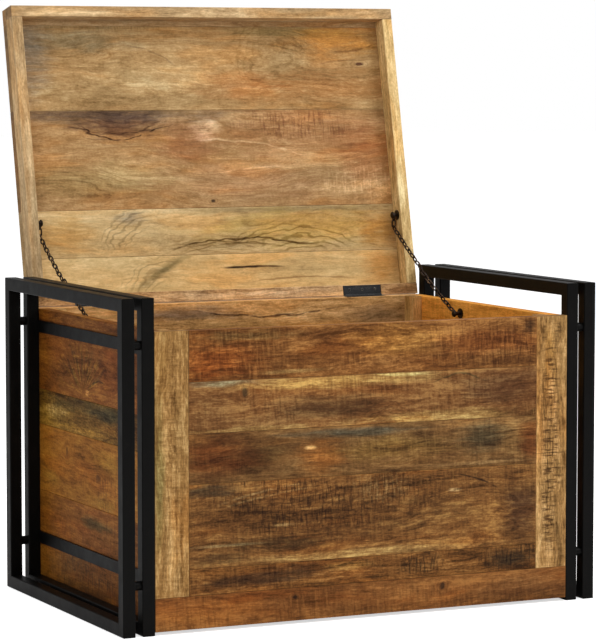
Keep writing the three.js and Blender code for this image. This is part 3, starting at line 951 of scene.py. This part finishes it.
@dataclass
class SideWalls:
    """The box's two sides, each four planks high."""

    varnish: Colour = (0.76, 0.62, 0.22)
    # The far side's multiplier is lighter than the near side's: varnish plus painted light on its lit inner
    # face
    far_varnish_and_painted_light: Colour = (1.12, 0.90, 0.42)

    def panel(self, side: str) -> Panel:
        """Gives each plank of one side its finish.

        Args:
            side: left or right.

        Returns:
            The panel, with Y measured from the chest's front and Z from the floor.
        """
        front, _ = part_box("front_base_plank")
        low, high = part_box(f"{side}_side_plank_1")
        start, finishes, varnish = {
            "left": (low.x, self.left(), self.varnish),
            "right": (high.x, self.right(), self.far_varnish_and_painted_light),
        }[side]
        return Panel(Vector((start, front.y, 0)), numbered(f"{side}_side_plank", Lay.SIDE, finishes), varnish)

    def left(self) -> dict[int, WoodFinish]:
        """The planks of the side that the photograph shows, by height."""
        return {
            4: WoodFinish(0x663C16, 0x885426, 0xA67440, 21.3, saw=0.2, contrast=0.85, marks=(
                fan(290, 330, 140, 100, 0x54300F, 0.9), fan(288, 328, 110, 85, 0xC49458, 0.8),
                stain(272, 334.5, 8, 5, 0xE0A078, 0.9), vein(240, 352, 50, 12, 0x44280F, 0.8, -14),
                stain(400, 400, 60, 30, 0x925420, 0.6), stain(180, 380, 60, 30, 0x8A4E20, 0.6))),
            3: WoodFinish(0x5A3E20, 0x80602F, 0xA68450, 23.1, saw=0.3, marks=(
                stain(240, 312, 230, 16, 0x5C5036, 0.85), stain(185, 305, 70, 14, 0x4A4634, 0.7),
                stain(400, 293, 42, 10, 0xA8885C, 0.7), stain(300, 272, 120, 6, 0xB48A4E, 0.75),
                sawn(400, 298, 60, 20, 0xB49468, 0.55))),
            2: WoodFinish(0x82532A, 0xAE783E, 0xC89A60, 24.9, saw=0.2, contrast=0.7, marks=(
                knot(360, 232, 4.2, 10, 0x6A4320, 0.8), knot(228, 205, 11, 8, 0x5E3C1C, 0.7),
                stain(195, 236, 55, 18, 0xBE9450, 0.7), stain(430, 184, 42, 10, 0xC09458, 0.7),
                stain(200, 170, 60, 10, 0xB48C50, 0.6), sawn(190, 190, 50, 30, 0x5E3C1A, 0.6))),
            1: WoodFinish(0x663F1A, 0x8A5828, 0xA8743E, 26.4, saw=0.5, contrast=0.8, marks=(
                stain(235, 132, 65, 11, 0x4C4024, 0.85), stain(410, 120, 60, 20, 0x9C6228, 0.6),
                sawn(280, 45, 180, 30, 0x4A2E14, 0.8), stain(330, 50, 100, 20, 0x6E4A28, 0.7),
                stain(250, 12, 250, 18, 0x54381E, 0.8))),
        }

    def right(self) -> dict[int, WoodFinish]:
        """The planks of the other side, by height."""
        return {
            # Pale orange top plank: colours brightened as painted light on its lit inner face, which its
            # outer face shares
            4: WoodFinish(0xBC7C38, 0xE2A862, 0xF4C488, 31.7, contrast=0.6, marks=(
                stain(180, 420, 80, 14, 0xC07A34, 0.6), arches(330, 380, 90, 30, 0x6A4018, 0.5),
                vein(240, 425, 90, 10, 0x704820, 0.7))),
            3: WoodFinish(0x54391B, 0x74532B, 0x907143, 33.2, saw=0.45, marks=(
                stain(330, 300, 110, 12, 0x5E5338, 0.8), stain(160, 280, 60, 10, 0xB48E54, 0.7))),
            2: WoodFinish(0x603D1B, 0x80562E, 0x9B7446, 34.8, marks=(
                knot(300, 200, 7, 9, KNOT_BROWN, 0.9), arches(160, 190, 70, 30, 0x6C451E, 0.5),
                stain(400, 230, 60, 12, 0xBE9250, 0.6))),
            1: WoodFinish(0x553618, 0x724C25, 0x8B6238, 36.1, saw=0.5, marks=(
                stain(200, 60, 110, 16, 0x55401F, 0.7), sawn(320, 90, 110, 35, 0x4A2E14, 0.6))),
        }


@dataclass
class RearWall:
    """The box's rear, four planks high, seen from inside at its top."""

    def panel(self) -> Panel:
        """Gives each plank of the rear its finish.

        Returns:
            The panel, with X across and Z up from the floor.
        """
        low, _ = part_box("rear_plank_1")
        finishes = {
            4: WoodFinish(0x986C38, 0xC8965A, 0xE0B47C, 41.3, contrast=0.8, saw=0.1, marks=(
                stain(-90, 432, 130, 12, 0x7A6450, 0.8), vein(60, 424, 160, -16, 0x4A2E18, 0.9),
                stain(80, 405, 120, 12, 0xA87A40, 0.7), stain(260, 420, 60, 20, 0x806448, 0.6))),
            3: WoodFinish(0x66431F, 0x8A6234, 0xA8824E, 43.9, saw=0.4, marks=(
                stain(150, 320, 120, 14, 0x5E5238, 0.7), knot(-180, 300, 7, 9, KNOT_BROWN, 0.9))),
            2: WoodFinish(0x6C4520, 0x906234, 0xB08850, 45.2, saw=0.4, marks=(
                arches(-60, 200, 160, 45, 0x68431E, 0.5), stain(220, 170, 90, 14, 0xB48C50, 0.6))),
            1: WoodFinish(0x5E3C1A, 0x805428, 0x9E6E3C, 47.8, saw=0.5, marks=(
                stain(-150, 80, 140, 16, 0x54391E, 0.7), sawn(200, 70, 120, 40, 0x4A2E14, 0.6))),
        }
        return Panel(Vector((0, low.y, 0)), numbered("rear_plank", Lay.FRONT, finishes))


@dataclass
class BoxInside:
    """The floor board and the four corner battens."""

    def panel(self) -> Panel:
        """Gives each inner board its finish."""
        low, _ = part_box("floor_board")
        floor = WoodFinish(0x7A5428, 0xA27A48, 0xBE9A68, 51.1, saw=0.3, marks=(
            arches(-50, 200, 200, 60, 0x7C5628, 0.5), arches(180, 380, 120, 50, 0x7C5628, 0.5),
            stain(150, 120, 120, 40, 0x8A6840, 0.6)))
        boards = [Board("floor_board", Lay.FLAT, floor)]
        for index, corner in enumerate(f"{end}_{side}" for end in ("front", "rear") for side in SIDES):
            finish = WoodFinish(0xB0803E, 0xD8A460, 0xEEC486, 52.0 + index, saw=0.15, contrast=0.7)
            boards.append(Board(f"{corner}_batten", Lay.UPRIGHT, finish))
        return Panel(Vector((0, low.y, 0)), boards)


@dataclass
class Lid:
    """The lid: four rims and five planks over them, seen from inside at rest."""

    varnish: Colour = (1.05, 1.06, 1.04)

    def panel(self) -> Panel:
        """Gives each board of the lid its finish.

        Returns:
            The panel, with X across and the other way up along the lid from the hinge pins.
        """
        pin = middle_of("left_hinge_pin")
        return Panel(Vector((0, pin.y, pin.z)), [*self.planks(), *self.rims()], self.varnish)

    def planks(self) -> list[Board]:
        """The five planks, from the lid's front to its hinge side."""
        finishes = {
            5: WoodFinish(0x96693A, 0xB69062, 0xCCAE86, 61.9, saw=0.1, contrast=0.6, marks=(
                stain(-200, 485, 100, 8, 0x8A6E4C, 0.6),)),
            4: WoodFinish(0x8A6232, 0xAC8656, 0xC4A678, 63.3, saw=0.12, figure=0.11, contrast=0.6, marks=(
                # The two greyish darker patches at the top left are painted shadow
                stain(-318, 425, 45, 70, 0x86725A, 0.9), stain(-240, 448, 120, 22, 0x8A7654, 0.85),
                sawn(-190, 470, 120, 14, 0x8E6E42, 0.7), stain(-110, 385, 100, 34, 0xBE9A68, 0.7),
                vein(-95, 428, 55, 12, 0x7E5E3A, 0.6, -20), arches(80, 435, 75, 40, 0x8A6636, 0.35, 75),
                stain(255, 450, 95, 30, 0xC0823A, 0.95), stain(170, 462, 120, 10, 0x8A7040, 0.7),
                vein(290, 432, 60, -8, 0x6E4620, 0.6, 12), vein(250, 412, 60, 6, 0x7A5230, 0.5, 6),
                knot(292, 406.5, 9.5, 3.4, 0x4A2412, 0.9), stain(230, 368, 130, 32, 0xA2703E, 0.85),
                arches(180, 372, 130, 26, 0x90602E, 0.4), stain(60, 366, 80, 26, 0xA87646, 0.8))),
            3: WoodFinish(0x885F34, 0xA47C4E, 0xBE9A6C, 64.8, saw=0.12, figure=0.10, contrast=0.62, marks=(
                stain(-210, 323, 240, 20, 0x6C523A, 1.0), stain(-165, 306, 80, 26, 0x6E4E36, 1.0),
                arches(-160, 300, 90, -34, 0x6A4A30, 0.55), vein(-165, 280, 110, -34, 0x4E3018, 0.95),
                vein(-165, 286, 90, -30, 0x6A4528, 0.8), stain(-40, 275, 60, 40, 0x9A6A44, 0.8),
                stain(170, 290, 190, 50, 0x9C6C40, 0.95), stain(60, 205, 150, 38, 0xA0744A, 0.9),
                stain(290, 255, 60, 60, 0x96643A, 0.9), stain(-220, 210, 130, 30, 0xB0905C, 0.7),
                stain(-8, 293.5, 28, 18, 0xE2BC8C, 1.0), sawn(160, 304, 110, 26, 0x7E5634, 0.9),
                fan(150, 345, 110, 75, 0x80583A, 0.7), vein(75, 272, 110, 14, 0xD0AC7C, 0.7, -8),
                knot(-5.5, 172.5, 4.8, 3.2, KNOT_BROWN, 0.9), sawn(270, 205, 75, 34, 0xC89E6E, 0.6),
                vein(60, 226, 80, 6, 0xC8A272, 0.6, 6))),
            # Planks 2 and 1 are paler: painted light on the lower part of the open lid's inside
            2: WoodFinish(0xAA8450, 0xCAA874, 0xDEC496, 66.2, saw=0.08, figure=0.12, contrast=0.5, marks=(
                stain(140, 125, 190, 34, 0xC09E58, 0.8), stain(120, 156, 200, 6, 0xA08860, 0.8),
                arches(150, 108, 120, 30, 0x86682E, 0.75), arches(-20, 96, 110, 24, 0x98743C, 0.5),
                vein(45, 108, 155, 18, 0x6A4A1C, 1.0), vein(20, 102, 115, 12, 0x8A6834, 0.7),
                vein(10, 98, 90, 10, 0x84622E, 0.7, 4), stain(-165, 145, 36, 12, 0x8C785C, 0.85),
                arches(-170, 130, 60, 30, 0x8E744A, 0.6, 40), stain(300, 120, 45, 36, 0xB8803C, 0.85),
                stain(-280, 120, 60, 34, 0xC4924E, 0.7))),
            1: WoodFinish(0xAE8650, 0xD2AC72, 0xE6C896, 67.7, saw=0.05, figure=0.09, contrast=0.45, marks=(
                stain(55, 59, 46, 2.2, 0x3E220C, 1.0), vein(60, 60, 60, 2, 0x50300F, 0.9),
                stain(-120, 50, 50, 8, 0x94794A, 0.8, 32), stain(-90, 66, 50, 6, 0x9C8250, 0.8, 28),
                arches(-130, 50, 60, 28, 0x96784A, 0.5, 30), stain(300, 52, 40, 30, 0xBC8440, 0.85),
                vein(150, 40, 110, 8, 0x8E683A, 0.7))),
        }
        return numbered("lid_plank", Lay.LID, finishes)

    def rims(self) -> list[Board]:
        """The four rims."""
        tan = partial(WoodFinish, 0x92734A, 0xB19066, 0xC8AC84, saw=0.1, rub=0.45, contrast=0.75)
        front = tan(seed=71.2, marks=(
            stain(200, 487, 80, 6, 0xAE8450, 0.6), stain(-250, 487, 60, 6, 0xCAA474, 0.6)))
        rear = WoodFinish(0x86603A, 0xB08C62, 0xC8A67C, 72.9, saw=0.2, marks=(
            stain(320, 8, 34, 8, 0x6A4828, 0.8), stain(50, 10, 150, 4, 0xC2A07A, 0.6)))
        left = tan(seed=74.6, marks=(stain(200, -344, 120, 4, 0x9C7448, 0.6),))
        right = WoodFinish(0xB48A4C, 0xD2AE74, 0xE8D09C, 76.4, saw=0.1, rub=0.45, contrast=0.8)
        return [
            Board("lid_front_rim", Lay.LID, front), Board("lid_rear_rim", Lay.LID, rear),
            Board("lid_left_rim", Lay.LID_SIDE, left), Board("lid_right_rim", Lay.LID_SIDE, right),
        ]


def add_piece(
    name: str, shape: bmesh.types.BMesh, material: bpy.types.Material, body: str
) -> None:
    """Turns a finished shape into a piece that rides on a body.

    Args:
        name: the piece's name.
        shape: its shape in the row frame; it is freed.
        material: its finish.
        body: the body that it rides on.
    """
    bmesh.ops.remove_doubles(shape, verts=shape.verts, dist=MERGE_DISTANCE)
    bmesh.ops.recalc_face_normals(shape, faces=shape.faces)
    mesh = bpy.data.meshes.new(name)
    shape.to_mesh(mesh)
    shape.free()
    mesh.materials.append(material)
    mesh.shade_smooth()
    piece = bpy.data.objects.new(name, mesh)
    bpy.context.scene.collection.objects.link(piece)
    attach(piece, body)
    LOG.info("made %s on %s", name, body)


def turn_profile(shape: bmesh.types.BMesh, profile: Sequence[Flat], place: Matrix, steps: int) -> None:
    """Turns a profile about Z into a closed round shape and moves it to its place.

    Args:
        shape: the bmesh that the round shape is added to.
        profile: radius and height of each point; it starts and ends on the axis.
        place: the turn and place of the finished round shape.
        steps: how many steps go round.
    """
    before = set(shape.verts)
    points = [shape.verts.new((radius, 0.0, height)) for radius, height in profile]
    edges = [shape.edges.new(pair) for pair in zip(points, points[1:])]
    bmesh.ops.spin(
        shape, geom=[*points, *edges], cent=(0, 0, 0), axis=(0, 0, 1), angle=2 * math.pi, steps=steps,
        use_merge=True, use_duplicate=False)
    fresh = [v for v in shape.verts if v not in before]
    bmesh.ops.remove_doubles(shape, verts=fresh, dist=MERGE_DISTANCE)
    bmesh.ops.transform(shape, matrix=place, verts=[v for v in shape.verts if v not in before])


@dataclass
class SteelFrames:
    """The black square-tube loops at both ends of the chest."""

    finish: MetalFinish = MetalFinish(
        "black_coated_steel", base=0x090807, worn=0x181513, metallic=0.0, roughness=0.42, cells=700.0,
        wear=0.35, relief=0.25, specular=0.08)

    def dress(self, effects: Effects) -> None:
        """Gives all four loops the same coating."""
        coating = self.finish.make(effects)
        for side in SIDES:
            for loop in ("outer", "inner"):
                dress(f"{side}_{loop}_frame", coating)


@dataclass
class Hinges:
    """The two butt hinges, and the countersunk screws that this script adds to their leaves."""

    screws_per_leaf: int = 3
    pitch: float = 0.024
    head_radius: float = 0.0027
    head_proud: float = 0.00012
    head_sunk: float = 0.0008
    head_steps: int = 24
    recess_share: float = 0.62
    row_share: float = 0.6
    knuckle_share: float = 0.5
    leaf: MetalFinish = MetalFinish(
        "blackened_hinge", base=0x17181A, worn=0x504C48, metallic=0.6, roughness=0.42, cells=900.0,
        wear=0.8, relief=0.2)
    pin: MetalFinish = MetalFinish(
        "hinge_pin", base=0x8A8680, worn=0xC8C2B8, metallic=1.0, roughness=0.3, cells=900.0,
        wear=0.6, relief=0.15)
    head: MetalFinish = MetalFinish(
        "hinge_screws", base=0x3A3836, worn=0x8A857C, metallic=0.9, roughness=0.38, cells=1200.0,
        wear=0.6, relief=0.15)

    def dress(self, effects: Effects) -> None:
        """Gives leaves and pins their metals and adds the screws."""
        leaf, pin = self.leaf.make(effects), self.pin.make(effects)
        for side in SIDES:
            dress(f"{side}_hinge_pin", pin)
            centre = middle_of(f"{side}_hinge_pin")
            for body, part, lay, ways in (("chest", "box", Lay.FLAT, -1), ("lid", "lid", Lay.LID, 1)):
                dress(f"{side}_hinge_{part}_leaf", leaf)
                self.add_screws(effects, f"{side}_hinge_{part}", body, lay, ways, centre)

    def add_screws(
        self, effects: Effects, name: str, body: str, lay: Lay, ways: int, pin: Vector
    ) -> None:
        """Adds the screws of one leaf.

        Args:
            effects: the shared node groups.
            name: the leaf's name without its last word.
            body: the body that the leaf rides on.
            lay: how the leaf lies.
            ways: 1 where the leaf lies up its width from the pin, or -1.
            pin: the middle of the hinge pin.
        """
        turn = lay.basis()
        places = [turn.transposed() @ (v.co - pin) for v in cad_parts[f"{name}_leaf"].data.vertices]
        outer = max(p.y * ways for p in places)
        face = max(p.z for p in places if p.y * ways > outer * self.knuckle_share)
        middle = Vector((0.0, ways * outer * self.row_share, face))
        shape = bmesh.new()
        first = -(self.screws_per_leaf - 1) / 2
        for index in range(self.screws_per_leaf):
            spot = middle + Vector(((first + index) * self.pitch, 0.0, 0.0))
            place = Matrix.Translation(pin + turn @ spot) @ turn.to_4x4()
            turn_profile(shape, self.head_profile(), place, self.head_steps)
        reach = self.head_radius * self.recess_share
        recess = Recess(tuple(pin + turn @ middle), tuple(turn.to_euler()), reach, self.pitch)
        add_piece(f"{name}_screws", shape, self.head.make(effects, recess), body)

    def head_profile(self) -> list[Flat]:
        """A flat head with a slight crown and a cone below, from its top down."""
        radius, proud = self.head_radius, self.head_proud
        return [
            (0.0, proud), (radius * 0.6, proud * 0.85), (radius * 0.93, proud * 0.4), (radius, 0.0),
            (radius * 0.97, -proud), (radius * 0.45, -self.head_sunk), (0.0, -self.head_sunk),
        ]


@dataclass
class StayChains:
    """The two stay chains and the screws that hold their ends."""

    sections: int = 3
    box_cross_turn: float = 0.3
    lid_cross_turn: float = 0.9
    cross_reach: float = 0.0032
    lone_pitch: float = 1.0
    links: MetalFinish = MetalFinish(
        "dark_bronze_chain", base=0x2C211A, worn=0x9A7A58, metallic=0.85, roughness=0.4, cells=1100.0,
        wear=0.8, relief=0.3)
    screws: MetalFinish = MetalFinish(
        "dark_bronze_screws", base=0x30261E, worn=0x8A6E50, metallic=0.85, roughness=0.38, cells=1100.0,
        wear=0.7, relief=0.3)

    def dress(self, effects: Effects) -> None:
        """Gives links and screws their metal, with each screw's recess painted as a near-black cross of
        shade.
        """
        links = self.links.make(effects)
        for side in SIDES:
            for part, turn in (("box", self.box_cross_turn), ("lid", self.lid_cross_turn)):
                for index in range(1, self.sections + 1):
                    dress(f"{side}_{part}_chain_{index}", links)
                screw = f"{side}_{part}_screw"
                place = tuple(middle_of(screw))
                recess = Recess(place, (turn, math.pi / 2, 0.0), self.cross_reach, self.lone_pitch)
                dress(screw, self.screws.make(effects, recess))


@dataclass(frozen=True)
class Lamp:
    """A soft square light: its name, its place, what it points at, its side and its power in watts."""

    name: str
    place: Point
    target: Point
    side: float
    power: float

    def build(self) -> None:
        """Makes the light."""
        data = bpy.data.lights.new(self.name, "AREA")
        data.size = self.side
        data.energy = self.power
        lamp = bpy.data.objects.new(self.name, data)
        lamp.location = self.place
        ahead = Vector(self.target) - Vector(self.place)
        lamp.rotation_euler = ahead.to_track_quat("-Z", "Y").to_euler()
        bpy.context.scene.collection.objects.link(lamp)


@dataclass
class Studio:
    """Floor, light and camera; the photograph's height, focal length and middle row are in its pixels."""

    camera_at: Point = (-2.040998, -4.380333, 0.833968)
    yaw: float = math.radians(25.378)
    pitch: float = math.radians(-4.349)
    photo_height: float = 640.0
    photo_focal: float = 3013.475
    photo_middle: float = 297.784
    sensor: float = 36.0
    clip_end: float = 100.0
    floor_size: float = 30.0
    floor_gap: float = 0.0004
    floor_colour: Colour = (0.94, 0.94, 0.94)
    floor_roughness: float = 0.95
    floor_glow: float = 0.62
    white: Colour = (1.0, 1.0, 1.0)
    room_light: float = 0.5
    lamps: tuple[Lamp, ...] = (
        Lamp("key", (2.6, -2.6, 3.2), (0.0, 0.0, 0.4), 2.4, 78.0),
        Lamp("fill", (-2.6, -2.2, 2.6), (0.0, 0.0, 0.5), 2.0, 20.0),
        Lamp("top", (0.2, -0.2, 4.2), (0.0, 0.0, 0.4), 3.0, 90.0),
    )

    def build(self) -> None:
        """Makes the floor, the lights and the camera."""
        self.build_floor()
        self.build_world()
        for lamp in self.lamps:
            lamp.build()
        self.build_camera()
        LOG.info("made the studio")

    def build_floor(self) -> None:
        """Makes the plain pale floor."""
        shape = bmesh.new()
        bmesh.ops.create_grid(shape, x_segments=1, y_segments=1, size=self.floor_size)
        mesh = bpy.data.meshes.new("floor")
        shape.to_mesh(mesh)
        shape.free()
        material, graph, shader = new_material("floor")
        seen = graph.add("LightPath").outputs["Is Camera Ray"]
        graph.fill(shader, {
            "Base Color": self.floor_colour, "Roughness": self.floor_roughness, "Specular IOR Level": 0.0,
            "Emission Color": self.white, "Emission Strength": graph.scaled(seen, self.floor_glow)})
        mesh.materials.append(material)
        floor = bpy.data.objects.new("floor", mesh)
        floor.location = (0.0, 0.0, -self.floor_gap)
        bpy.context.scene.collection.objects.link(floor)

    def build_world(self) -> None:
        """Makes a white surrounding that lights softly and shows white."""
        world = bpy.data.worlds.new("studio")
        world.use_nodes = True
        world.node_tree.nodes.clear()
        graph = Graph(world.node_tree)
        light, shown = (
            graph.fill(graph.add("Background"), {"Color": self.white, "Strength": strength}).outputs[0]
            for strength in (self.room_light, 1.0))
        seen = graph.add("LightPath").outputs["Is Camera Ray"]
        mixed = graph.feed(graph.add("MixShader"), (seen, light, shown)).outputs[0]
        graph.fill(graph.add("OutputWorld"), {"Surface": mixed})
        bpy.context.scene.world = world

    def build_camera(self) -> None:
        """Makes the camera at the photograph's viewing angle."""
        data = bpy.data.cameras.new("camera")
        data.sensor_width = self.sensor
        data.lens = self.photo_focal / self.photo_height * self.sensor
        data.shift_y = (self.photo_middle - self.photo_height / 2) / self.photo_height
        data.clip_end = self.clip_end
        camera = bpy.data.objects.new("camera", data)
        camera.location = self.camera_at
        level = math.cos(self.pitch)
        ahead = Vector((math.sin(self.yaw) * level, math.cos(self.yaw) * level, math.sin(self.pitch)))
        camera.rotation_euler = ahead.to_track_quat("-Z", "Y").to_euler()
        bpy.context.scene.collection.objects.link(camera)
        bpy.context.scene.camera = camera


def main() -> None:
    """Builds and dresses the chest in order."""
    logging.basicConfig(level=logging.INFO, format="%(name)s: %(message)s")
    bpy.context.scene.view_settings.view_transform = "Standard"
    effects = Effects()
    sides = [SideWalls().panel(side) for side in SIDES]
    for panel in (FrontWall().panel(), *sides, RearWall().panel(), BoxInside().panel(), Lid().panel()):
        panel.dress(effects)
    for assembly in (SteelFrames(), Hinges(), StayChains()):
        assembly.dress(effects)
    Studio().build()


if __name__ == "__main__":
    main()
